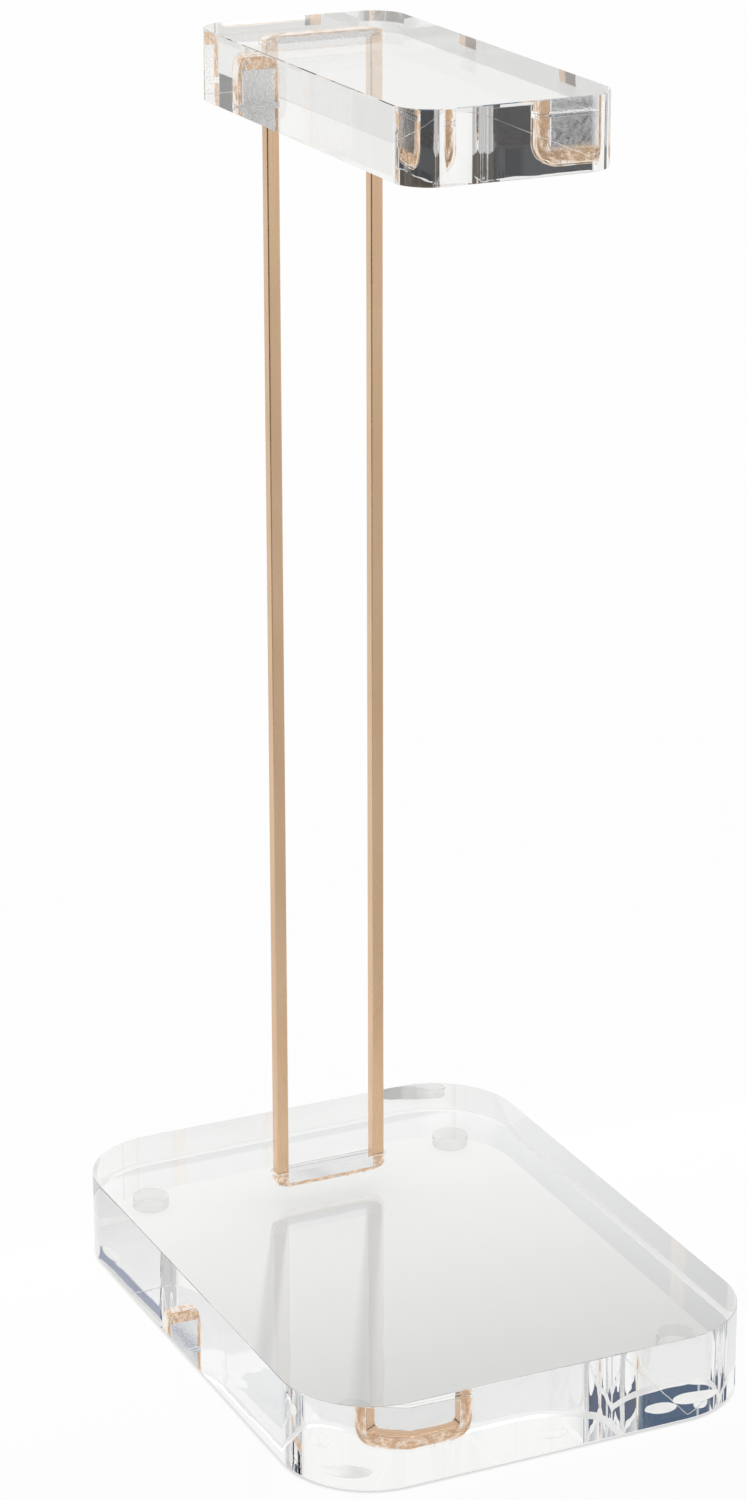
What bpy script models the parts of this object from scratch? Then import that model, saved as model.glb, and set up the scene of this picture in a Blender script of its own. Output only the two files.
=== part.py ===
"""Headphone stand: a clear base slab and a clear top block joined by one closed loop of square bar.

Units are metres and +Z is up. The origin is on the table, under the centre of the base slab.
The front of the stand faces -Y, and +X is the right-hand side seen from the front.
"""

import math

import bmesh
import bpy
from mathutils import Vector

# ---- base slab --------------------------------------------------------------
BASE_WIDTH = 0.105
BASE_DEPTH = 0.142
BASE_THICKNESS = 0.020
BASE_CORNER_RADIUS = 0.020
BASE_LOWER_CHAMFER = 0.0009          # the underside's edges are broken more than the upper ones
BASE_UPPER_CHAMFER = 0.0003

# ---- top block, which carries the headband ----------------------------------
TOP_WIDTH = 0.046
TOP_LENGTH = 0.106
TOP_THICKNESS = 0.015
TOP_CORNER_RADIUS = 0.0077
TOP_EDGE_CHAMFER = 0.0004
TOP_CENTRE_Y = 0.0029
STAND_HEIGHT = 0.2807                # underside of the slab to the upper face of the block

# ---- loop of square bar -----------------------------------------------------
BAR_SIZE = 0.0028
BAR_EDGE_CHAMFER = 0.0002
LOOP_WIDTH = 0.0268
LOOP_BEND_RADIUS = 0.0045            # outside radius of the four bends
LOOP_Y = 0.0403                      # middle of the bar, towards the back

# ---- blind slots that hold the two ends of the loop --------------------------
SLOT_LENGTH = 0.0282
SLOT_WIDTH = 0.0036
SLOT_CORNER_RADIUS = 0.0010
BASE_SLOT_DEPTH = 0.0116
TOP_SLOT_DEPTH = 0.0116
LOOP_DEPTH_IN_BASE = 0.0104
LOOP_DEPTH_IN_TOP = 0.0104

# ---- round feet -------------------------------------------------------------
FOOT_RADIUS = 0.0042
FOOT_TIP_RADIUS = 0.0037             # flat underside, inside its rounded rim
FOOT_RIM_RADIUS = 0.0005
FOOT_HEIGHT = 0.0025
FOOT_X = 0.0383
FOOT_Y = 0.0550

# ---- fits and roundness -------------------------------------------------------
BOND_GAP = 0.0003                    # clearance left between pieces that are bonded
CUTTER_EXCESS = 0.002                # how far a cutter stands out of the face that it cuts
CORNER_STEPS = 24
BEND_STEPS = 12
SLOT_CORNER_STEPS = 6
FOOT_RIM_STEPS = 4
FOOT_STEPS = 48

# ---- heights that follow from the sizes above --------------------------------
BASE_TOP_Z = FOOT_HEIGHT + BASE_THICKNESS
TOP_FACE_Z = FOOT_HEIGHT + STAND_HEIGHT
TOP_UNDERSIDE_Z = TOP_FACE_Z - TOP_THICKNESS
BASE_SLOT_FLOOR_Z = BASE_TOP_Z - BASE_SLOT_DEPTH
TOP_SLOT_FLOOR_Z = TOP_UNDERSIDE_Z + TOP_SLOT_DEPTH
LOOP_BOTTOM_Z = BASE_TOP_Z - LOOP_DEPTH_IN_BASE
LOOP_TOP_Z = TOP_UNDERSIDE_Z + LOOP_DEPTH_IN_TOP


def clear_scene():
    """Remove everything that the file already holds."""
    for obj in list(bpy.data.objects):
        bpy.data.objects.remove(obj, do_unlink=True)


def make_collection(name):
    """Make a collection in the scene."""
    collection = bpy.data.collections.new(name)
    bpy.context.scene.collection.children.link(collection)
    return collection


# ---- materials --------------------------------------------------------------

def make_material(name, colour, roughness, metallic=0.0, transmission=0.0, ior=1.45):
    """Make one Principled material."""
    material = bpy.data.materials.new(name)
    material.use_nodes = True
    shader = material.node_tree.nodes["Principled BSDF"]
    shader.inputs["Base Color"].default_value = (*colour, 1.0)
    shader.inputs["Roughness"].default_value = roughness
    shader.inputs["Metallic"].default_value = metallic
    shader.inputs["Transmission Weight"].default_value = transmission
    shader.inputs["IOR"].default_value = ior
    return material


def clear_acrylic(name):
    """Polished clear acrylic sheet."""
    return make_material(name, (0.96, 0.97, 0.97), 0.02, transmission=1.0, ior=1.49)


def champagne_gold(name):
    """Brushed metal bar with a pale gold finish."""
    return make_material(name, (0.80, 0.60, 0.43), 0.32, metallic=1.0)


def clear_bumper(name):
    """Soft clear polyurethane."""
    return make_material(name, (0.93, 0.94, 0.94), 0.15, transmission=1.0, ior=1.48)


def clear_adhesive(name):
    """Hard clear adhesive, slightly hazy."""
    return make_material(name, (0.92, 0.92, 0.90), 0.25, transmission=0.9, ior=1.50)


# ---- shapes -----------------------------------------------------------------

def finish_mesh(obj):
    """Shade round faces smooth and keep the real edges sharp."""
    obj.data.shade_smooth()
    obj.data.set_sharp_from_angle(angle=math.radians(30))


def add_rounded_box(name, size, centre, radius, axis, steps, collection, material=None):
    """A box whose four edges along one axis (0, 1 or 2 for X, Y or Z) are rounded."""
    mesh_data = bmesh.new()
    bmesh.ops.create_cube(mesh_data, size=1.0)
    bmesh.ops.scale(mesh_data, vec=Vector(size), verts=mesh_data.verts)
    edges = []
    for edge in mesh_data.edges:
        direction = (edge.verts[1].co - edge.verts[0].co).normalized()
        if abs(direction[axis]) > 0.9:
            edges.append(edge)
    bmesh.ops.bevel(mesh_data, geom=edges, offset=radius, offset_type="OFFSET",
                    segments=steps, profile=0.5, affect="EDGES")
    mesh = bpy.data.meshes.new(name)
    mesh_data.to_mesh(mesh)
    mesh_data.free()
    obj = bpy.data.objects.new(name, mesh)
    obj.location = centre
    collection.objects.link(obj)
    if material:
        mesh.materials.append(material)
    finish_mesh(obj)
    return obj


def chamfer_rim(obj, z, width):
    """Break the edges round one flat end of a slab, at local height z."""
    mesh_data = bmesh.new()
    mesh_data.from_mesh(obj.data)
    edges = []
    for edge in mesh_data.edges:
        on_end = all(abs(vert.co.z - z) < 0.00001 for vert in edge.verts)
        if on_end and edge.calc_face_angle() > math.radians(40):
            edges.append(edge)
    bmesh.ops.bevel(mesh_data, geom=edges, offset=width, offset_type="OFFSET",
                    segments=1, profile=0.5, affect="EDGES")
    mesh_data.to_mesh(obj.data)
    mesh_data.free()
    finish_mesh(obj)


def add_edge_chamfer(obj, width):
    """Break the sharp edges of an object."""
    bevel = obj.modifiers.new("edge_break", "BEVEL")
    bevel.width = width
    bevel.segments = 1
    bevel.limit_method = "ANGLE"
    bevel.angle_limit = math.radians(40)


def cut_with(obj, cutter):
    """Subtract a hidden cutter from an object."""
    cutter.hide_render = True
    cutter.display_type = "WIRE"
    cut = obj.modifiers.new(cutter.name, "BOOLEAN")
    cut.operation = "DIFFERENCE"
    cut.solver = "EXACT"
    cut.object = cutter


def add_slot_cutter(name, z_low, z_high, collection):
    """The space that a milled blind slot takes out."""
    size = (SLOT_LENGTH, SLOT_WIDTH, z_high - z_low)
    centre = (0, LOOP_Y, (z_low + z_high) / 2)
    return add_rounded_box(name, size, centre, SLOT_CORNER_RADIUS, 2, SLOT_CORNER_STEPS, collection)


# ---- sub-parts --------------------------------------------------------------

def add_base_block(parts, cutters):
    """Slab with rounded corners, broken edges and a blind slot near the back."""
    size = (BASE_WIDTH, BASE_DEPTH, BASE_THICKNESS)
    centre = (0, 0, FOOT_HEIGHT + BASE_THICKNESS / 2)
    slab = add_rounded_box("base_block", size, centre, BASE_CORNER_RADIUS, 2, CORNER_STEPS, parts,
                           clear_acrylic("base_acrylic"))
    chamfer_rim(slab, -BASE_THICKNESS / 2, BASE_LOWER_CHAMFER)
    chamfer_rim(slab, BASE_THICKNESS / 2, BASE_UPPER_CHAMFER)
    slot = add_slot_cutter("base_slot_cutter", BASE_SLOT_FLOOR_Z, BASE_TOP_Z + CUTTER_EXCESS, cutters)
    cut_with(slab, slot)


def add_top_block(parts, cutters):
    """Block that the headband rests on, with a blind slot in its underside."""
    size = (TOP_WIDTH, TOP_LENGTH, TOP_THICKNESS)
    centre = (0, TOP_CENTRE_Y, TOP_FACE_Z - TOP_THICKNESS / 2)
    block = add_rounded_box("top_block", size, centre, TOP_CORNER_RADIUS, 2, CORNER_STEPS, parts,
                            clear_acrylic("top_acrylic"))
    add_edge_chamfer(block, TOP_EDGE_CHAMFER)
    slot = add_slot_cutter("top_slot_cutter", TOP_UNDERSIDE_Z - CUTTER_EXCESS, TOP_SLOT_FLOOR_Z, cutters)
    cut_with(block, slot)


def add_support_loop(parts, cutters):
    """Closed loop of square bar: two uprights joined across both ends."""
    height = LOOP_TOP_Z - LOOP_BOTTOM_Z
    centre = (0, LOOP_Y, (LOOP_TOP_Z + LOOP_BOTTOM_Z) / 2)
    loop = add_rounded_box("support_loop", (LOOP_WIDTH, BAR_SIZE, height), centre, LOOP_BEND_RADIUS,
                           1, BEND_STEPS, parts, champagne_gold("loop_gold"))
    window = (LOOP_WIDTH - 2 * BAR_SIZE, BAR_SIZE + 2 * CUTTER_EXCESS, height - 2 * BAR_SIZE)
    cutter = add_rounded_box("loop_window_cutter", window, centre, LOOP_BEND_RADIUS - BAR_SIZE,
                             1, BEND_STEPS, cutters)
    cut_with(loop, cutter)
    add_edge_chamfer(loop, BAR_EDGE_CHAMFER)


def add_slot_adhesive(name, z_low, z_high, parts):
    """Thin pad of cured adhesive between a slot's floor and the bar."""
    z_low += BOND_GAP
    z_high -= BOND_GAP
    size = (SLOT_LENGTH - 2 * BOND_GAP, SLOT_WIDTH - 2 * BOND_GAP, z_high - z_low)
    centre = (0, LOOP_Y, (z_low + z_high) / 2)
    add_rounded_box(name, size, centre, SLOT_CORNER_RADIUS - BOND_GAP, 2, SLOT_CORNER_STEPS, parts,
                    clear_adhesive(name))


def make_foot_profile():
    """Half section of a foot, down its outer side from the top face to the tip."""
    mesh_data = bmesh.new()
    top_z = FOOT_HEIGHT - BOND_GAP
    points = [(0, top_z), (FOOT_RADIUS, top_z)]
    for step in range(FOOT_RIM_STEPS + 1):
        angle = math.pi / 2 * step / FOOT_RIM_STEPS
        r = FOOT_TIP_RADIUS + FOOT_RIM_RADIUS * math.cos(angle)
        points.append((r, FOOT_RIM_RADIUS * (1 - math.sin(angle))))
    points.append((0, 0))
    verts = [mesh_data.verts.new((r, 0, z)) for r, z in points]
    for upper, lower in zip(verts, verts[1:]):
        mesh_data.edges.new((upper, lower))
    mesh = bpy.data.meshes.new("foot")
    mesh_data.to_mesh(mesh)
    mesh_data.free()
    mesh.materials.append(clear_bumper("foot_clear"))
    return mesh


def add_feet(parts):
    """Four stick-on feet, one near each corner of the slab."""
    profile = make_foot_profile()
    for side, x in (("left", -FOOT_X), ("right", FOOT_X)):
        for end, y in (("front", -FOOT_Y), ("back", FOOT_Y)):
            foot = bpy.data.objects.new(f"foot_{end}_{side}", profile)
            foot.location = (x, y, 0)
            parts.objects.link(foot)
            turn = foot.modifiers.new("turned", "SCREW")
            turn.steps = FOOT_STEPS
            turn.render_steps = FOOT_STEPS
            turn.use_merge_vertices = True
            turn.merge_threshold = 0.00005


def build():
    """Build the whole stand."""
    clear_scene()
    parts = make_collection("headphone_stand")
    cutters = make_collection("cutters")
    add_base_block(parts, cutters)
    add_top_block(parts, cutters)
    add_support_loop(parts, cutters)
    add_slot_adhesive("base_slot_adhesive", BASE_SLOT_FLOOR_Z, LOOP_BOTTOM_Z, parts)
    add_slot_adhesive("top_slot_adhesive", LOOP_TOP_Z, TOP_SLOT_FLOOR_Z, parts)
    add_feet(parts)


build()
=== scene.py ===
"""Looks of the headphone stand: clear acrylic slab and block, brushed pale-gold loop, clear feet.

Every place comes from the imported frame. Units are metres, +Z is up and the front faces -Y.
"""

import math
from random import Random

import bmesh
import bpy
from mathutils import Matrix, Vector


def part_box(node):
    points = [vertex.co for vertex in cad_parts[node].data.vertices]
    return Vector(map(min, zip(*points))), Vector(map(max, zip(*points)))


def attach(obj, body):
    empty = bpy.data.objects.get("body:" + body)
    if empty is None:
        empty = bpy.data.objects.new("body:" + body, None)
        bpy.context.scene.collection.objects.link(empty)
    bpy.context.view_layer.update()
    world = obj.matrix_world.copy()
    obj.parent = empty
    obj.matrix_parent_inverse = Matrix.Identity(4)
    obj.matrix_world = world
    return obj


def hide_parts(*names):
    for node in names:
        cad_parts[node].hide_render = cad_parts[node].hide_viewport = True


# ---- acrylic -------------------------------------------------------------------------
ACRYLIC_IOR = 1.49
BASE_CORNER_RADIUS = 0.0200
TOP_CORNER_RADIUS = 0.0077
BASE_CHAMFER = 0.0009                # broken lower edge of the slab
BASE_EDGE_RADIUS = 0.00014           # its polished upper edge
TOP_CHAMFER = 0.00016
TOP_EDGE_RADIUS = 0.00008
SLOT_LENGTH = 0.0282
SLOT_WIDTH = 0.0036
SLOT_CORNER_RADIUS = 0.0010
SLOT_RIM = 0.0001                    # every edge of the slot is broken by this much
GROOVE_DEPTH = 0.0007                # the adhesive stops this far below the face
POCKET_LENGTH = 0.0216               # air between the two uprights, inside the loop
POCKET_WIDTH = 0.0033
POCKET_DEPTH = 0.0078                # its floor is just inside the loop's end bar
POCKET_CORNER_RADIUS = 0.0006
CORNER_STEPS = 48
CHAMFER_RINGS = 4                    # rings of points that form the lower chamfer
EDGE_STEPS = 4

# ---- gold bar ------------------------------------------------------------------------
BEND_RADIUS = 0.0045
BAR_ARRIS_RADIUS = 0.00028
BEND_STEPS = 24
ARRIS_STEPS = 4

# ---- adhesive ------------------------------------------------------------------------
BUBBLE_COUNT = 90
BUBBLE_SEED = 11
BUBBLE_RADII = (0.0001, 0.0005)
BUBBLE_HALF_THICKNESS = 0.00014
BUBBLE_GAP = 0.0002                  # from the bar to the middle of a bubble
BUBBLES_ON_END_BAR = 0.35            # shares of all the bubbles; the rest are on the uprights
BUBBLES_ON_BENDS = 0.50
BUBBLE_REACH = 0.004                 # how far up the uprights bubbles are found
GLUE_REACH = 0.0088                  # how far up the uprights the adhesive shows
GLUE_MARGIN = 0.0006                 # and how far outside the bar
GLUE_GAP = 0.00012                   # from the bar to the outside of the skin of adhesive
GLUE_SKIN = 0.00006                  # its thickness
GLUE_OVERLAP = 0.0001                # the bar's inner edge stays bare by this much
GLUE_STEPS = 12
GLUE_CLEAR_ROW = 0.125               # texture row where the adhesive's material shows nothing
GLUE_FRONT, GLUE_BACK, GLUE_SIDE = -1.0, 1.0, 2.0    # shifts that give each side its own streaks

# ---- feet ----------------------------------------------------------------------------
FOOT_STEPS = 64
FOOT_RIM = 0.0005
FOOT_CORNER = 0.0002
FOOT_OVERLAP = 0.00006               # into the slab, so that light passes between them
FOOT_BOND = (0.0022, 0.0024)         # the foot turns pale between these heights

# ---- colours -------------------------------------------------------------------------
# A list of colours is a ramp over the material's own noise. A shadow is the tint of a lamp's light
# that has passed through.
ACRYLIC_TINTS = [(0.3, (0.990, 0.992, 0.990)), (0.7, (0.996, 0.996, 0.994))]
ACRYLIC_SHADOW = (0.975, 0.975, 0.97)
MILLED_TINT = (0.97, 0.97, 0.97, 1.0)
MILLED_SHADOW = (0.99, 0.99, 0.99)
# painted glow of the slab's frosted lower edge: a set white brightness, not lit by any lamp
PAINTED_EDGE_GLOW = 0.93
GOLD_COLOURS = [(0.3, (0.80, 0.535, 0.335)), (0.7, (0.90, 0.635, 0.42))]
BURIED_SHADOW_LOSS = 0.6             # share of the light that passes the buried end bar
BUMPER_COLOURS = [(0.3, (0.66, 0.66, 0.65)), (0.7, (0.74, 0.74, 0.73))]
BUMPER_CLEAR = (0.96, 0.96, 0.955)
BUMPER_SHADOW = (0.93, 0.93, 0.93)
BUBBLE_TINT = (0.99, 0.99, 0.98, 1.0)
# painted glow of the adhesive's streaks: gold to cream tones given off whatever the lamps, standing in for
# highlights on the gold and light piped through the slab
GLUE_PAINTED_GLOW_COLOURS = [(0.38, (0.62, 0.43, 0.30)), (0.50, (0.84, 0.66, 0.51)), (0.64, (0.97, 0.93, 0.88))]
GLUE_PAINTED_GLOW_STRENGTH = 0.95
GLUE_SHADOW = (0.97, 0.97, 0.96)
WHITE = (1.0, 1.0, 1.0)

# ---- table ---------------------------------------------------------------------------
FLOOR_SIZE = 60.0
# painted shade on the table, met only by rays through the slab: greyer towards the front and outside the
# slab's outline
TABLE_DEPTHS = (-0.10, 0.10)         # the shades run from the first depth to the second
TABLE_PAINTED_SHADES = [(0.0, 0.485), (0.25, 0.505), (0.55, 0.625), (0.80, 0.705), (1.0, 0.66)]
PAINTED_SHADE_BESIDE_SLAB = 0.98             # painted shade: the table is darker beside the slab than under it
PAINTED_SHADE_BEFORE_SLAB = 0.88
TABLE_END = (0.25, 0.60)             # here the table turns into a lit backdrop
BACKDROP_GLOW = 0.85
SHADE_BORDER = 0.0015
CONTACT_SHADE = 0.62                 # brightness of the thin shade at the slab's lower edge
CONTACT_WIDTH = 0.0012
SEEN_WHITE = 0.93                    # share of plain white in what the eye sees of the table
# Painted shadows of the slab on the table, drawn as dark strips beside it: their x range, then their y
# range.
RIGHT_PAINTED_SHADOW = ((0.0525, 0.0569), (-0.070, 0.070))
LEFT_PAINTED_SHADOW = ((-0.0600, -0.0525), (0.012, 0.070))
LEFT_PAINTED_SHADOW_PATCH = ((-0.0710, -0.0600), (0.012, 0.058))
PATCH_BORDER = 0.0006
# colours of the painted shadow strips
RIGHT_PAINTED_SHADOW_COLOUR = (0.28, 0.31, 0.42)
LEFT_PAINTED_SHADOW_COLOUR = (0.10, 0.12, 0.18)
# Where the dark room begins, from all light to all dark.
ROOM_LEFT = (-0.40, -0.46)
ROOM_SCREEN_SLANT = 0.5
ROOM_SCREEN = (-0.15, -0.17)
ROOM_FRONT = (-0.62, -0.68)
ROOM_FRONT_SIDE = (0.10, 0.0)

# ---- studio --------------------------------------------------------------------------
# (azimuth in degrees, 0 straight back and 90 right; brightness)
ROOM_BRIGHTNESS = [
    (-180, 0.60), (-158, 0.93), (-145, 0.90), (-137, 0.72), (-110, 0.42), (-70, 0.30), (-60, 0.0),
    (-25.0, 0.0), (-23.5, 1.0), (75, 1.0), (125, 0.8), (134, 0.05), (156, 0.05), (162, 0.5)]
ROOM_WHITE = (1.0, 1.0, 0.99)
DARK_ROOM = (0.085, 0.075, 0.062)
GAP_COLOURS = [(0.15, (0.060, 0.052, 0.042)), (0.42, (0.070, 0.115, 0.190))]    # by height
ROOM_STRENGTH = 0.95
CEILING = (0.60, 0.75)               # above these heights everything is white
RIGHT_FILL = 0.66
RIGHT_FILL_HEIGHTS = (0.28, 0.38)
BACK_LIGHT_DIRECTION = (26.9, 64)    # azimuth and elevation in degrees
BACK_LIGHT_STRENGTH = 0.85
BACK_LIGHT_ANGLE = math.radians(1.0)
SOFTBOX_SIZE = 0.9
SOFTBOX_POWER = 9.0
SOFTBOX_HEIGHT = 1.5

# ---- camera, aimed at the middle of the stand ----------------------------------------
CAMERA_AZIMUTH = math.radians(25.136)
CAMERA_ELEVATION = math.radians(19.704)
CAMERA_DISTANCE = 0.9009
CAMERA_AIM = Vector((0.0, 0.0159, 0.1308))
CAMERA_ROLL = math.radians(-0.10)
LENS_MM = 99.98
SENSOR_MM = 36.0

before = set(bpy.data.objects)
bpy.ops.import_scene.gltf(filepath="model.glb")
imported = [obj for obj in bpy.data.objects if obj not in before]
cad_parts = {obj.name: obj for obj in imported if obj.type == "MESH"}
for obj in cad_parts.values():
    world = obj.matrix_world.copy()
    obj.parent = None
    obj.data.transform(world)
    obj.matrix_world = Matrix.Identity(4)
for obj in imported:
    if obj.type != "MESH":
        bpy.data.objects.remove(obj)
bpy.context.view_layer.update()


# ---- mesh building -------------------------------------------------------------------

def add_object(name, data):
    """Put a new object into the scene."""
    obj = bpy.data.objects.new(name, data)
    bpy.context.scene.collection.objects.link(obj)
    return obj


def stand_for(obj, node):
    """Fix a piece to the stand's only body, in place of a CAD node."""
    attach(obj, "root")
    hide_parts(node)


def rounded_ring(width, depth, radius, steps):
    """Points and outward normals of a rounded rectangle, anticlockwise: (x, y, nx, ny)."""
    ring = []
    corners = ((1, 1, 0), (-1, 1, 90), (-1, -1, 180), (1, -1, 270))
    for side_x, side_y, start in corners:
        for step in range(steps + 1):
            angle = math.radians(start + 90 * step / steps)
            c, s = math.cos(angle), math.sin(angle)
            x = side_x * (width / 2 - radius) + radius * c
            y = side_y * (depth / 2 - radius) + radius * s
            ring.append((x, y, c, s))
    return ring


def mesh_from_rings(name, rings):
    """Join rings of (position, normal) into a closed smooth surface with those exact normals."""
    mesh = bpy.data.meshes.new(name)
    verts, normals, faces = [], [], []
    for ring in rings:
        for position, normal in ring:
            verts.append(position)
            normals.append(normal)
    count = len(rings[0])
    for k in range(len(rings) - 1):
        for i in range(count):
            j = (i + 1) % count
            a, b = k * count, (k + 1) * count
            faces.append((a + i, a + j, b + j, b + i))
    last = (len(rings) - 1) * count
    faces.append(tuple(reversed(range(count))))
    faces.append(tuple(last + i for i in range(count)))
    mesh.from_pydata(verts, [], faces)
    mesh.shade_smooth()
    mesh.normals_split_custom_set_from_vertices(normals)
    return add_object(name, mesh)


def slab_profile(height, lower_chamfer, edge_radius):
    """Profile of a slab's side, from its underside to its upper face: (inset, z, outward, upward)."""
    tight = lower_chamfer / 8
    slope = math.radians(45)
    shift = tight * math.tan(slope / 2)
    d = math.sin(slope)
    points = [
        (lower_chamfer + shift, 0.0, 0.0, -1.0),
        (lower_chamfer - shift * d, shift * d, d, -d),
        (shift * d, lower_chamfer - shift * d, d, -d),
        (0.0, lower_chamfer + shift, 1.0, 0.0)]
    for step in range(EDGE_STEPS + 1):
        angle = math.radians(90) * step / EDGE_STEPS
        out, up = math.cos(angle), math.sin(angle)
        points.append((edge_radius * (1 - out), height - edge_radius * (1 - up), out, up))
    return points


def acrylic_piece(name, node, corner_radius, chamfer, edge_radius, slot_on_top):
    """A polished acrylic slab as big as a CAD node, with a blind slot for the loop in one face.

    The slab is built with its slot upwards. One with its slot below is then turned over.
    """
    low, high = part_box(node)
    size = high - low
    centre = (low + high) / 2
    place = Matrix.Translation((centre.x, centre.y, low.z))
    slot_y = LOOP_Y - centre.y
    if not slot_on_top:
        place = Matrix.Translation((centre.x, centre.y, high.z)) @ Matrix.Rotation(math.pi, 4, "X")
        slot_y = -slot_y
    rings = []
    for inset, z, out, up in slab_profile(size.z, chamfer, edge_radius):
        ring = rounded_ring(size.x - 2 * inset, size.y - 2 * inset, corner_radius - inset, CORNER_STEPS)
        rings.append([(Vector((x, y, z)), Vector((nx * out, ny * out, up))) for x, y, nx, ny in ring])
    for length, width, radius, z, out, up in slot_outlines(size.z):
        ring = rounded_ring(length, width, radius, CORNER_STEPS)
        rings.append([(Vector((x, y + slot_y, z)), Vector((-nx * out, -ny * out, up)))
                      for x, y, nx, ny in ring])
    obj = mesh_from_rings(name, rings)
    obj.matrix_world = place
    stand_for(obj, node)
    return obj


def mark_faces(obj):
    """Give the faces of a slab's slot its second material, and those of its chamfer the third."""
    ring = 4 * (CORNER_STEPS + 1)
    side_rings = len(slab_profile(1.0, 0.1, 0.1))
    for face in obj.data.polygons:
        if min(face.vertices) >= side_rings * ring:
            face.material_index = 1
        elif ring <= max(face.vertices) < CHAMFER_RINGS * ring:
            face.material_index = 2


def slot_outlines(face_z):
    """Outlines of a slot that adhesive has filled, except for a groove and a pocket inside the loop.

    Each is (length, width, corner radius, z, inward, upward).
    """
    rim = SLOT_RIM
    length, width, radius = SLOT_LENGTH, SLOT_WIDTH, SLOT_CORNER_RADIUS
    ledge_z, floor_z = face_z - GROOVE_DEPTH, face_z - POCKET_DEPTH
    pocket, narrow, tight = POCKET_LENGTH, POCKET_WIDTH, POCKET_CORNER_RADIUS
    return [
        (length + 2 * rim, width + 2 * rim, radius + rim, face_z, 0.0, 1.0),
        (length, width, radius, face_z - rim, 1.0, 0.0),
        (length, width, radius, ledge_z + rim, 1.0, 0.0),
        (length - rim, width - rim, radius, ledge_z, 0.0, 1.0),
        (pocket + rim, narrow + rim, tight, ledge_z, 0.0, 1.0),
        (pocket, narrow, tight, ledge_z - rim, 1.0, 0.0),
        (pocket, narrow, tight, floor_z + rim, 1.0, 0.0),
        (pocket - rim, narrow - rim, tight, floor_z, 0.0, 1.0)]


def gold_loop():
    """One bar swept round a closed rounded rectangle."""
    low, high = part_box("support_loop")
    size = high - low
    centre = (low + high) / 2
    bar = size.y
    path = rounded_ring(size.x - bar, size.z - bar, BEND_RADIUS - bar / 2, BEND_STEPS)
    section = rounded_ring(bar, bar, BAR_ARRIS_RADIUS, ARRIS_STEPS)
    rings = []
    for x, z, nx, nz in path:
        ring = []
        for a, b, na, nb in section:
            position = Vector((x + nx * a, b, z + nz * a)) + centre
            normal = Vector((nx * na, nb, nz * na))
            ring.append((position, normal))
        rings.append(ring)
    mesh = bpy.data.meshes.new("gold_loop")
    count, turns = len(section), len(path)
    verts = [p for ring in rings for p, _ in ring]
    normals = [n for ring in rings for _, n in ring]
    faces, uvs = [], []
    lengths = [0.0]
    for k in range(turns):
        x0, z0 = path[k][:2]
        x1, z1 = path[(k + 1) % turns][:2]
        lengths.append(lengths[-1] + math.hypot(x1 - x0, z1 - z0))
    for k in range(turns):
        n = (k + 1) % turns
        for i in range(count):
            j = (i + 1) % count
            faces.append((k * count + j, n * count + j, n * count + i, k * count + i))
            around0, around1 = i / count, (i + 1) / count
            uvs += [(lengths[k], around1), (lengths[k + 1], around1),
                    (lengths[k + 1], around0), (lengths[k], around0)]
    mesh.from_pydata(verts, [], faces)
    mesh.uv_layers.new(name="along_bar")
    for loop, uv in zip(mesh.uv_layers[0].data, uvs):
        loop.uv = uv
    mesh.shade_smooth()
    mesh.normals_split_custom_set_from_vertices(normals)
    obj = add_object("gold_loop", mesh)
    stand_for(obj, "support_loop")
    return obj


# ---- materials -----------------------------------------------------------------------

class Nodes:
    """A short way to add and join shader nodes."""

    def __init__(self, owner):
        owner.use_nodes = True
        self.tree = owner.node_tree
        self.tree.nodes.clear()

    def add(self, kind, **inputs):
        """Add a node; an input is a value or another node's output. Names use _ for a space."""
        node = self.tree.nodes.new("ShaderNode" + kind)
        for key, value in inputs.items():
            index = key[1:]
            socket = node.inputs[int(index)] if index.isdigit() else node.inputs[key.replace("_", " ")]
            if isinstance(value, bpy.types.NodeSocket):
                self.tree.links.new(value, socket)
            else:
                socket.default_value = value
        return node

    def maths(self, operation, a, b=0.0, c=0.0):
        node = self.add("Math", _0=a, _1=b, _2=c)
        node.operation = operation
        return node.outputs[0]

    def parts(self, vector):
        """The X, Y and Z of a vector."""
        return self.add("SeparateXYZ", Vector=vector).outputs

    def stretched(self, coordinates, scale):
        node = self.add("Mapping", Vector=coordinates, Scale=scale)
        return node.outputs[0]

    def noise(self, coordinates, scale, detail=3.0, roughness=0.5):
        node = self.add("TexNoise", Vector=coordinates, Scale=scale, Detail=detail, Roughness=roughness)
        return node.outputs["Fac"]

    def ramp(self, factor, stops):
        """A ramp through (position, colour) stops. A colour is three numbers, or one for a grey."""
        node = self.add("ValToRGB", Fac=factor)
        ramp = node.color_ramp
        while len(ramp.elements) < len(stops):
            ramp.elements.new(0.5)
        for element, (position, colour) in zip(ramp.elements, stops):
            if not isinstance(colour, tuple):
                colour = (colour, colour, colour)
            element.position = position
            element.color = (*colour, 1.0)
        return node.outputs["Color"]

    def range(self, value, low, high, new_low=0.0, new_high=1.0):
        """Map low..high to new_low..new_high, and keep what is outside at the nearer end."""
        node = self.add("MapRange", _0=value, _1=low, _2=high, _3=new_low, _4=new_high)
        return node.outputs[0]

    def bump(self, height, distance, strength=1.0):
        node = self.add("Bump", Height=height, Distance=distance, Strength=strength)
        return node.outputs[0]

    def glow(self, colour, strength=1.0):
        """A surface with a set brightness, whatever light falls on it."""
        if isinstance(colour, tuple):
            colour = (*colour, 1.0)
        return self.add("Emission", Color=colour, Strength=strength).outputs[0]

    def clear(self, tint):
        """A surface that light crosses without bending."""
        return self.add("BsdfTransparent", Color=(*tint, 1.0)).outputs[0]

    def mix(self, factor, first, second):
        node = self.add("MixShader", _0=factor, _1=first, _2=second)
        return node.outputs[0]


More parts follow.
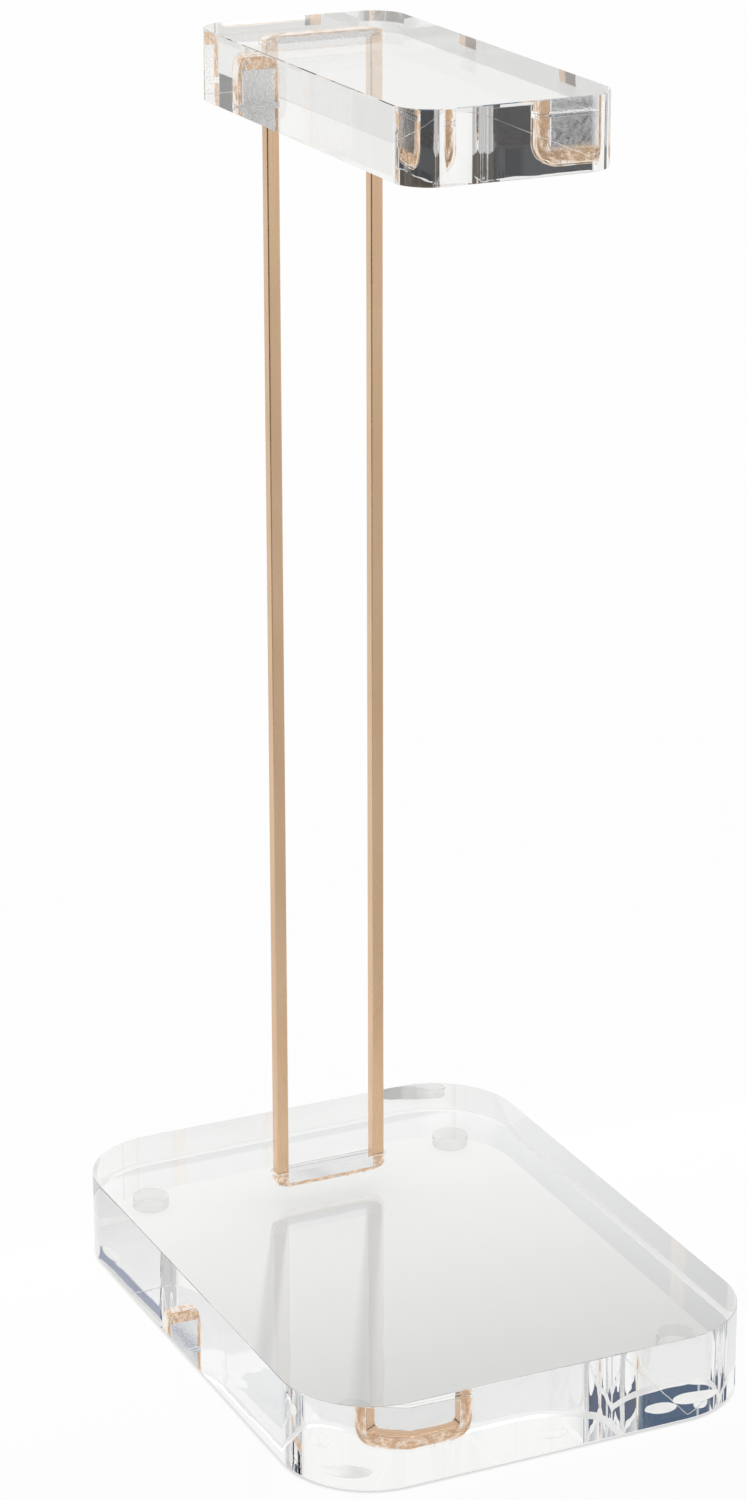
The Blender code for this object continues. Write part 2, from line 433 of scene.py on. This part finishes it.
def new_material(name, coordinates="Object"):
    """A material, its node helper and its texture coordinates."""
    material = bpy.data.materials.new(name)
    nodes = Nodes(material)
    return material, nodes, nodes.add("TexCoord").outputs[coordinates]


def clear_plastic(nodes, colour, roughness, normal, outer_shine=1.0):
    """Refraction and reflection. Reflections on the outside can be weakened, as a polariser does."""
    fresnel = nodes.add("Fresnel", IOR=ACRYLIC_IOR, Normal=normal).outputs[0]
    inside = nodes.add("NewGeometry").outputs["Backfacing"]
    share = nodes.maths("MULTIPLY", fresnel, nodes.range(inside, 0.0, 1.0, outer_shine, 1.0))
    through = nodes.add("BsdfRefraction", Color=colour, Roughness=roughness, IOR=ACRYLIC_IOR, Normal=normal)
    mirror = nodes.add("BsdfAnisotropic", Color=(1, 1, 1, 1), Roughness=roughness, Normal=normal)
    return nodes.mix(share, through.outputs[0], mirror.outputs[0])


def finish_clear(nodes, shader, tint):
    """Let lamps shine through: the eye sees the shader, and shadows see a plain tint."""
    path = nodes.add("LightPath").outputs
    through = nodes.maths("MAXIMUM", path["Is Shadow Ray"], path["Is Diffuse Ray"])
    nodes.add("OutputMaterial", Surface=nodes.mix(through, shader, nodes.clear(tint)))


def acrylic_material(name, outer_shine, roughness=0.0, frost=0.0):
    """Polished cast acrylic: almost no colour, a trace of waviness from polishing.

    A broken edge is rougher, and part of it is frosted. That frosted part is a painted glow: a set white
    brightness whatever the lamps, standing in for the slab's light gathered at the edge.
    """
    material, nodes, place = new_material(name)
    normal = nodes.bump(nodes.noise(place, 55.0, 2.0), 0.00002)
    tint = nodes.ramp(nodes.noise(place, 12.0, 2.0), ACRYLIC_TINTS)
    plastic = clear_plastic(nodes, tint, roughness, normal, outer_shine)
    if frost:
        # the frosted share is painted glow, a fixed white brightness
        plastic = nodes.mix(frost, plastic, nodes.glow(ROOM_WHITE, PAINTED_EDGE_GLOW))
    finish_clear(nodes, plastic, ACRYLIC_SHADOW)
    return material


def milled_material(name, grain, smooth, rough):
    """The slot's walls as the cutter left them: a frosted surface with fine tool marks."""
    material, nodes, place = new_material(name)
    marks = nodes.noise(nodes.stretched(place, (700.0, 700.0, 2600.0)), 1.0)
    frost = nodes.range(nodes.noise(place, 900.0), 0.35, 0.65, smooth, rough)
    plastic = clear_plastic(nodes, MILLED_TINT, frost, nodes.bump(marks, grain))
    finish_clear(nodes, plastic, MILLED_SHADOW)
    return material


def gold_material(name):
    """Pale gold on a bar brushed along its length.

    Lamps partly pass the end buried in the slab, because the clear slab spreads that shadow.
    """
    material, nodes, along = new_material(name, "UV")
    hairs = nodes.noise(nodes.stretched(along, (60.0, 160.0, 1.0)), 1.0, 4.0, 0.6)
    cloud = nodes.noise(nodes.stretched(along, (25.0, 3.0, 1.0)), 1.0, 2.0)
    colour = nodes.ramp(cloud, GOLD_COLOURS)
    rough = nodes.range(hairs, 0.3, 0.7, 0.16, 0.30)
    normal = nodes.bump(hairs, 0.00003, 0.6)
    gold = nodes.add("BsdfPrincipled", Base_Color=colour, Metallic=1.0, Roughness=rough, Normal=normal)
    low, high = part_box("support_loop")
    height = nodes.parts(nodes.add("NewGeometry").outputs["Position"])["Z"]
    buried = nodes.range(height, low.z + (high.y - low.y), low.z + BEND_RADIUS, BURIED_SHADOW_LOSS, 0.0)
    lamp_ray = nodes.add("LightPath").outputs["Is Shadow Ray"]
    let_through = nodes.maths("MULTIPLY", buried, lamp_ray)
    shader = nodes.mix(let_through, gold.outputs[0], nodes.clear(WHITE))
    nodes.add("OutputMaterial", Surface=shader)
    return material


def bumper_material(name):
    """Soft clear polyurethane, seen through at a steep angle and pale at a shallow one.

    It is pale only near its bonded face, which is the part seen through the slab.
    """
    material, nodes, place = new_material(name)
    facing = nodes.add("LayerWeight", Blend=0.5).outputs["Facing"]
    height = nodes.parts(nodes.add("NewGeometry").outputs["Position"])["Z"]
    shallow = nodes.range(facing, 0.35, 0.60, 0.0, 0.85)
    pale = nodes.maths("MULTIPLY_ADD", shallow, nodes.range(height, *FOOT_BOND), 0.06)
    colour = nodes.ramp(nodes.noise(place, 220.0), BUMPER_COLOURS)
    body = nodes.add("BsdfPrincipled", Base_Color=colour, Roughness=0.35)
    shader = nodes.mix(pale, nodes.clear(BUMPER_CLEAR), body.outputs[0])
    finish_clear(nodes, shader, BUMPER_SHADOW)
    return material


def bubble_material(name):
    """Air trapped in the cured adhesive: the clear plastic's index, turned inside out."""
    material, nodes, place = new_material(name)
    normal = nodes.bump(nodes.noise(place, 2500.0), 0.0001)
    rough = nodes.range(nodes.noise(place, 1200.0), 0.3, 0.7, 0.0, 0.25)
    air = nodes.add("BsdfGlass", Color=BUBBLE_TINT, Roughness=rough, IOR=1 / ACRYLIC_IOR, Normal=normal)
    finish_clear(nodes, air.outputs[0], GLUE_SHADOW)
    return material


def glue_material(name, milky_glow, rim):
    """Cured adhesive on the bar: clear, with milky streaks and a white edge that are a painted glow, giving
    off gold to cream tones whatever the lamps. milky_glow is its least cover.

    Texture rows 0 to 1 cross the front and back, and rows from 2 on cross the milkier outer side, which
    glows more.
    """
    material, nodes, place = new_material(name, "UV")
    row = nodes.parts(place)["Y"]
    streaks = nodes.noise(nodes.stretched(place, (330.0, 2.6, 1.0)), 1.0, 4.0, 0.6)
    cover = nodes.range(streaks, 0.46, 0.64, milky_glow, 0.75)
    cover = nodes.maths("MULTIPLY", cover, nodes.range(row, 0.13, 0.22))
    cover = nodes.maths("MAXIMUM", cover, nodes.range(row, 0.03, 0.12, rim, 0.0))
    outer = nodes.range(row, 1.4, 1.6)
    outer_cover = nodes.range(streaks, 0.36, 0.50, 0.45, 0.92)
    cover = nodes.maths("MAXIMUM", cover, nodes.maths("MULTIPLY", outer, outer_cover))
    # painted glow: the streaks and edge give off these tones instead of being lit
    colour = nodes.ramp(nodes.maths("MULTIPLY_ADD", outer, 0.09, streaks), GLUE_PAINTED_GLOW_COLOURS)
    shader = nodes.mix(cover, nodes.clear(WHITE), nodes.glow(colour, GLUE_PAINTED_GLOW_STRENGTH))
    finish_clear(nodes, shader, GLUE_SHADOW)
    return material


# ---- stage ---------------------------------------------------------------------------

def add_camera():
    camera = bpy.data.cameras.new("camera")
    camera.lens = LENS_MM
    camera.sensor_width = SENSOR_MM
    camera.clip_start = 0.01
    obj = add_object("camera", camera)
    turn = Matrix.Rotation(-CAMERA_AZIMUTH, 4, "Z")
    tilt = Matrix.Rotation(math.radians(90) - CAMERA_ELEVATION, 4, "X")
    roll = Matrix.Rotation(CAMERA_ROLL, 4, "Z")
    back = Matrix.Translation((0, 0, CAMERA_DISTANCE))
    obj.matrix_world = Matrix.Translation(CAMERA_AIM) @ turn @ tilt @ roll @ back
    bpy.context.scene.camera = obj


def add_floor():
    """A table that looks plain white, apart from the thin shade of contact round the slab.

    Rays that come through the clear slab meet a grey table of painted shade instead, with a dark room past
    its left and front edges and a painted shadow of the slab, a dark strip, on each side of it. They give
    the slab its dark corners.
    """
    bpy.ops.mesh.primitive_plane_add(size=FLOOR_SIZE)
    floor = bpy.context.active_object
    floor.name = "floor"
    material = bpy.data.materials.new("floor")
    nodes = Nodes(material)
    geometry = nodes.add("NewGeometry").outputs
    place = nodes.parts(geometry["Position"])
    x, y = place["X"], place["Y"]
    camera = nodes.add("LightPath").outputs["Is Camera Ray"]
    hidden = nodes.maths("SUBTRACT", 1.0, camera)
    # the table's grey is painted shade
    table = nodes.add("BsdfDiffuse", Color=table_painted_shade(nodes, x, y))
    beyond = nodes.maths("MAXIMUM", nodes.range(y, *TABLE_END), nodes.range(x, *TABLE_END))
    ground = nodes.mix(beyond, table.outputs[0], nodes.glow(ROOM_WHITE, BACKDROP_GLOW))
    in_room = nodes.maths("MULTIPLY", dark_room(nodes, x, y), hidden)
    ground = nodes.mix(in_room, ground, nodes.glow(DARK_ROOM))
    # The painted shadow strips show only to rays that travel towards the front, as those turned back inside
    # the slab do.
    to_front = nodes.range(nodes.parts(geometry["Incoming"])["Y"], 0.0, 0.05)
    right = nodes.maths("MULTIPLY", patch(nodes, x, y, *RIGHT_PAINTED_SHADOW), to_front)
    left = nodes.maths("MULTIPLY", patch(nodes, x, y, *LEFT_PAINTED_SHADOW), to_front)
    left = nodes.maths("MAXIMUM", left, patch(nodes, x, y, *LEFT_PAINTED_SHADOW_PATCH))
    # paint the slab's shadows as dark glowing strips, which direct view does not see
    for strip, colour in ((right, RIGHT_PAINTED_SHADOW_COLOUR), (left, LEFT_PAINTED_SHADOW_COLOUR)):
        ground = nodes.mix(nodes.maths("MULTIPLY", strip, hidden), ground, nodes.glow(colour))
    white = nodes.glow(WHITE, contact_shade(nodes, x, y))
    seen = nodes.maths("MULTIPLY", camera, SEEN_WHITE)
    nodes.add("OutputMaterial", Surface=nodes.mix(seen, ground, white))
    floor.data.materials.append(material)


def table_painted_shade(nodes, x, y):
    """Painted shade: greyer towards the front, and greyer again outside the slab's outline."""
    shade = nodes.ramp(nodes.range(y, *TABLE_DEPTHS), TABLE_PAINTED_SHADES)
    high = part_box("base_block")[1]
    outside = []
    for axis, half, share in ((x, high.x, PAINTED_SHADE_BESIDE_SLAB), (y, high.y, PAINTED_SHADE_BEFORE_SLAB)):
        past = nodes.maths("ABSOLUTE", axis)
        outside.append(nodes.range(past, half, half + SHADE_BORDER, 1.0, share))
    darker = nodes.maths("MINIMUM", *outside)
    grey = nodes.add("CombineXYZ", X=darker, Y=darker, Z=darker)
    colour = nodes.add("VectorMath", _0=shade, _1=grey.outputs[0])
    colour.operation = "MULTIPLY"
    return colour.outputs[0]


def dark_room(nodes, x, y):
    """One on the floor far to the left, behind a slanting screen, and far in front; zero elsewhere."""
    far_left = nodes.range(x, *ROOM_LEFT)
    behind_screen = nodes.range(nodes.maths("MULTIPLY_ADD", y, ROOM_SCREEN_SLANT, x), *ROOM_SCREEN)
    far_front = nodes.maths("MULTIPLY", nodes.range(y, *ROOM_FRONT), nodes.range(x, *ROOM_FRONT_SIDE))
    return nodes.maths("MAXIMUM", nodes.maths("MULTIPLY", far_left, behind_screen), far_front)


def patch(nodes, x, y, across, along):
    """One inside a rectangle of the floor and zero outside it, with a narrow soft border."""
    value = 1.0
    for axis, (low, high) in ((x, across), (y, along)):
        value = nodes.maths("MULTIPLY", value, nodes.range(axis, low - PATCH_BORDER, low))
        value = nodes.maths("MULTIPLY", value, nodes.range(axis, high, high + PATCH_BORDER, 1.0, 0.0))
    return value


def contact_shade(nodes, x, y):
    """The thin line of shade under the slab's lower edge, where the eye looks in below the slab."""
    low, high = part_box("base_block")
    to_eye = nodes.parts(nodes.add("NewGeometry").outputs["Incoming"])
    radius = BASE_CORNER_RADIUS - BASE_CHAMFER
    outside = []
    for axis, key, half in ((x, "X", high.x), (y, "Y", high.y)):
        lean = nodes.maths("DIVIDE", to_eye[key], to_eye["Z"])
        lifted = nodes.maths("MULTIPLY_ADD", lean, low.z, axis)
        past = nodes.maths("SUBTRACT", nodes.maths("ABSOLUTE", lifted), half - BASE_CORNER_RADIUS)
        outside.append(nodes.maths("POWER", nodes.maths("MAXIMUM", past, 0.0), 2.0))
    distance = nodes.maths("SQRT", nodes.maths("ADD", *outside))
    return nodes.range(distance, radius, radius + CONTACT_WIDTH, CONTACT_SHADE, 1.0)


def add_world():
    """Soft white light from behind and above, with the dark room showing in two gaps.

    The eye sees plain white. The gaps reach it only through the clear pieces.
    """
    world = bpy.data.worlds.new("studio")
    bpy.context.scene.world = world
    nodes = Nodes(world)
    direction = nodes.parts(nodes.add("TexCoord").outputs["Generated"])
    azimuth = nodes.maths("ARCTAN2", direction["X"], direction["Y"])
    around = nodes.range(azimuth, -math.pi, math.pi)
    level = nodes.ramp(around, [((degrees + 180) / 360, white) for degrees, white in ROOM_BRIGHTNESS])
    fill = nodes.range(direction["X"], 0.0, 0.05, 0.0, RIGHT_FILL)
    fill = nodes.maths("MULTIPLY", nodes.range(direction["Z"], *RIGHT_FILL_HEIGHTS), fill)
    camera = nodes.add("LightPath").outputs["Is Camera Ray"]
    for brighter in (fill, nodes.range(direction["Z"], *CEILING), camera):
        level = nodes.maths("MAXIMUM", level, brighter)
    colour = nodes.add("Mix")
    colour.data_type = "RGBA"
    factor, dark, light = colour.inputs[0], colour.inputs[6], colour.inputs[7]
    nodes.tree.links.new(level, factor)
    nodes.tree.links.new(nodes.ramp(direction["Z"], GAP_COLOURS), dark)
    light.default_value = (*ROOM_WHITE, 1.0)
    strength = nodes.range(camera, 0.0, 1.0, ROOM_STRENGTH, 1.0)
    back = nodes.add("Background", Color=colour.outputs[2], Strength=strength)
    nodes.add("OutputWorld", Surface=back.outputs[0])


def add_back_light():
    """A small hard light behind the stand, which draws the uprights' shadows on the table."""
    light = bpy.data.lights.new("back_light", "SUN")
    light.energy = BACK_LIGHT_STRENGTH
    light.angle = BACK_LIGHT_ANGLE
    azimuth, elevation = (math.radians(angle) for angle in BACK_LIGHT_DIRECTION)
    level = math.cos(elevation)
    direction = Vector((math.sin(azimuth) * level, math.cos(azimuth) * level, math.sin(elevation)))
    obj = add_object("back_light", light)
    obj.rotation_euler = direction.to_track_quat("Z", "Y").to_euler()


def add_softbox():
    """A softbox straight above. Only matt surfaces feel it, so the clear blocks stay calm."""
    light = bpy.data.lights.new("softbox", "AREA")
    light.shape = "DISK"
    light.size = SOFTBOX_SIZE
    light.energy = SOFTBOX_POWER
    obj = add_object("softbox", light)
    obj.location = (0.0, 0.0, SOFTBOX_HEIGHT)
    obj.visible_camera = False
    obj.visible_glossy = False
    obj.visible_transmission = False


def set_light_paths():
    """Let light bounce often enough inside the clear blocks."""
    cycles = bpy.context.scene.cycles
    cycles.max_bounces = 40
    cycles.transmission_bounces = 40
    cycles.glossy_bounces = 16
    cycles.diffuse_bounces = 3
    cycles.transparent_max_bounces = 24
    cycles.caustics_reflective = False
    cycles.caustics_refractive = False
    bpy.context.scene.view_settings.view_transform = "Standard"


# ---- feet ----------------------------------------------------------------------------

def clear_foot(node, material):
    """A turned bumper, a hair into the slab so that light passes between them."""
    low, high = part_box(node)
    radius = (high.x - low.x) / 2
    centre = (low + high) / 2
    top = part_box("base_block")[0].z + FOOT_OVERLAP
    profile = [(radius - FOOT_RIM, 0.0, 0.0, -1.0)]
    for step in range(1, EDGE_STEPS + 1):
        angle = math.radians(90) * step / EDGE_STEPS
        out, up = math.sin(angle), -math.cos(angle)
        profile.append((radius - FOOT_RIM * (1 - out), FOOT_RIM * (1 + up), out, up))
    profile.append((radius, top - FOOT_CORNER, 1.0, 0.0))
    profile.append((radius - FOOT_CORNER, top, 0.0, 1.0))
    rings = []
    for r, z, out, up in profile:
        ring = []
        for step in range(FOOT_STEPS):
            angle = 2 * math.pi * step / FOOT_STEPS
            c, s = math.cos(angle), math.sin(angle)
            ring.append((Vector((centre.x + r * c, centre.y + r * s, z)), Vector((c * out, s * out, up))))
        rings.append(ring)
    obj = mesh_from_rings("bumper_" + node.removeprefix("foot_"), rings)
    obj.data.materials.append(material)
    stand_for(obj, node)


# ---- adhesive ------------------------------------------------------------------------

def buried_u(half, bend):
    """The middle line of a buried end of the loop: (x, height, outward x, outward height).

    Heights count from the middle of the end bar, and half is from the loop's middle to an upright.
    """
    path = [(half, GLUE_REACH, 1.0, 0.0)]
    for side, start in ((1, 0), (-1, -90)):
        for step in range(GLUE_STEPS + 1):
            angle = math.radians(start - 90 * step / GLUE_STEPS)
            c, s = math.cos(angle), math.sin(angle)
            path.append((side * (half - bend) + bend * c, bend + bend * s, c, s))
    path.append((-half, GLUE_REACH, -1.0, 0.0))
    return path


def skin_section(bar):
    """Section of the adhesive's skin on the front, back and outer side of the bar.

    Each point is (outward, depth, texture row where the face that follows starts, row where it ends,
    shift along the streaks).
    """
    inner, outer, side = GLUE_OVERLAP - bar / 2, bar / 2 + GLUE_MARGIN, bar / 2 + GLUE_GAP
    near, far = -side, GLUE_SKIN - side
    clear = (GLUE_CLEAR_ROW, GLUE_CLEAR_ROW, 0.0)
    return [
        (inner, near, 1.0, 0.0, GLUE_FRONT), (outer, near, *clear), (outer, far, *clear),
        (side, far, 2.0, 2.4, GLUE_SIDE), (side, -far, *clear), (outer, -far, *clear),
        (outer, -near, 0.0, 1.0, GLUE_BACK), (inner, -near, *clear), (inner, -far, *clear),
        (side - GLUE_SKIN, -far, *clear), (side - GLUE_SKIN, far, *clear), (inner, far, *clear)]


def glue_skin(mesh_data, path, section, place):
    """Sweep the section along the buried U and close both ends. place(x, y, height) gives a point."""
    layer = mesh_data.loops.layers.uv.new("along_glue")

    def add_face(corners):
        face = mesh_data.faces.new([vert for vert, _ in corners])
        face.material_index = 1
        for loop, (_, uv) in zip(face.loops, corners):
            loop[layer].uv = uv

    rows, lengths = [], [0.0]
    for k, (x, z, nx, nz) in enumerate(path):
        if k:
            lengths.append(lengths[-1] + math.hypot(x - path[k - 1][0], z - path[k - 1][1]))
        rows.append([mesh_data.verts.new(place(x + nx * outward, y, z + nz * outward))
                     for outward, y, *_ in section])
    for k in range(len(path) - 1):
        for i, (_, _, start, end, shift) in enumerate(section):
            j = (i + 1) % len(section)
            here, ahead = lengths[k] + shift, lengths[k + 1] + shift
            add_face(((rows[k][i], (here, start)), (rows[k][j], (here, end)),
                      (rows[k + 1][j], (ahead, end)), (rows[k + 1][i], (ahead, start))))
    for row in (rows[0][::-1], rows[-1]):
        add_face([(vert, (0.0, GLUE_CLEAR_ROW)) for vert in row])
    bmesh.ops.recalc_face_normals(mesh_data, faces=mesh_data.faces)


def bubble_spot(random, half, bend, bar):
    """A random place along the buried U: on the end bar, on one of its bends or on an upright."""
    spot = random.random()
    side = random.choice((-1, 1))
    outward = random.uniform(-0.45, 0.5) * bar
    if spot < BUBBLES_ON_END_BAR:
        return random.uniform(-1, 1) * (half - bend), -outward
    if spot < BUBBLES_ON_END_BAR + BUBBLES_ON_BENDS:
        angle = random.uniform(0, math.pi / 2)
        r = bend + outward
        return side * (half - bend + r * math.sin(angle)), bend - r * math.cos(angle)
    return side * (half + outward), random.uniform(bend, bend + BUBBLE_REACH)


def adhesive(name, node, upward, bubbles, skin):
    """The adhesive round one end of the loop: small flat air bubbles and a streaky skin whose streaks are a
    painted glow.
    """
    low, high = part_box("support_loop")
    bar = high.y - low.y
    half = (high.x - low.x - bar) / 2
    end_z = (low.z if upward > 0 else high.z) + upward * bar / 2
    bend = BEND_RADIUS - bar / 2

    def place(x, y, z):
        return Vector((x, LOOP_Y + y, end_z + upward * z))

    random = Random(BUBBLE_SEED)
    mesh_data = bmesh.new()
    for _ in range(BUBBLE_COUNT):
        x, z = bubble_spot(random, half, bend, bar)
        middle = place(x, random.choice((-1, 1)) * (bar / 2 + BUBBLE_GAP), z)
        size = (random.uniform(*BUBBLE_RADII), BUBBLE_HALF_THICKNESS, random.uniform(*BUBBLE_RADII))
        turn = Matrix.Rotation(random.uniform(0, math.pi), 4, "Y")
        bmesh.ops.create_icosphere(mesh_data, subdivisions=2, radius=1.0,
                                   matrix=Matrix.Translation(middle) @ turn @ Matrix.Diagonal((*size, 1.0)))
    glue_skin(mesh_data, buried_u(half, bend), skin_section(bar), place)
    mesh = bpy.data.meshes.new(name)
    mesh_data.to_mesh(mesh)
    mesh_data.free()
    mesh.shade_smooth()
    mesh.materials.append(bubbles)
    mesh.materials.append(skin)
    stand_for(add_object(name, mesh), node)


# ---- build ---------------------------------------------------------------------------

LOOP_LOW, LOOP_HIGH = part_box("support_loop")
LOOP_Y = (LOOP_LOW.y + LOOP_HIGH.y) / 2
base = acrylic_piece("base_slab", "base_block", BASE_CORNER_RADIUS, BASE_CHAMFER, BASE_EDGE_RADIUS, True)
top = acrylic_piece("top_slab", "top_block", TOP_CORNER_RADIUS, TOP_CHAMFER, TOP_EDGE_RADIUS, False)
base_finishes = [
    acrylic_material("clear_acrylic_base", outer_shine=0.08),
    milled_material("milled_acrylic_base", grain=0.00002, smooth=0.03, rough=0.10),
    # the lower chamfer: satin, with a painted glow on its frosted share
    acrylic_material("satin_acrylic_edge_painted_glow", outer_shine=0.5, roughness=0.35, frost=0.65)]
top_acrylic = acrylic_material("clear_acrylic_top", outer_shine=0.8)
top_walls = milled_material("milled_acrylic_top", grain=0.00015, smooth=0.15, rough=0.50)
for slab, finishes in ((base, base_finishes), (top, (top_acrylic, top_walls, top_acrylic))):
    for finish in finishes:
        slab.data.materials.append(finish)
    mark_faces(slab)
gold_loop().data.materials.append(gold_material("pale_gold"))
bumper = bumper_material("clear_bumper")
for foot in ("foot_front_left", "foot_front_right", "foot_back_left", "foot_back_right"):
    clear_foot(foot, bumper)
bubble = bubble_material("adhesive_bubbles")
base_skin = glue_material("base_adhesive_painted_glow", milky_glow=0.35, rim=0.10)
adhesive("base_glue", "base_slot_adhesive", 1.0, bubble, base_skin)
top_skin = glue_material("top_adhesive_painted_glow", milky_glow=0.0, rim=0.85)
adhesive("top_glue", "top_slot_adhesive", -1.0, bubble, top_skin)
add_camera()
add_floor()
add_world()
add_back_light()
add_softbox()
set_light_paths()
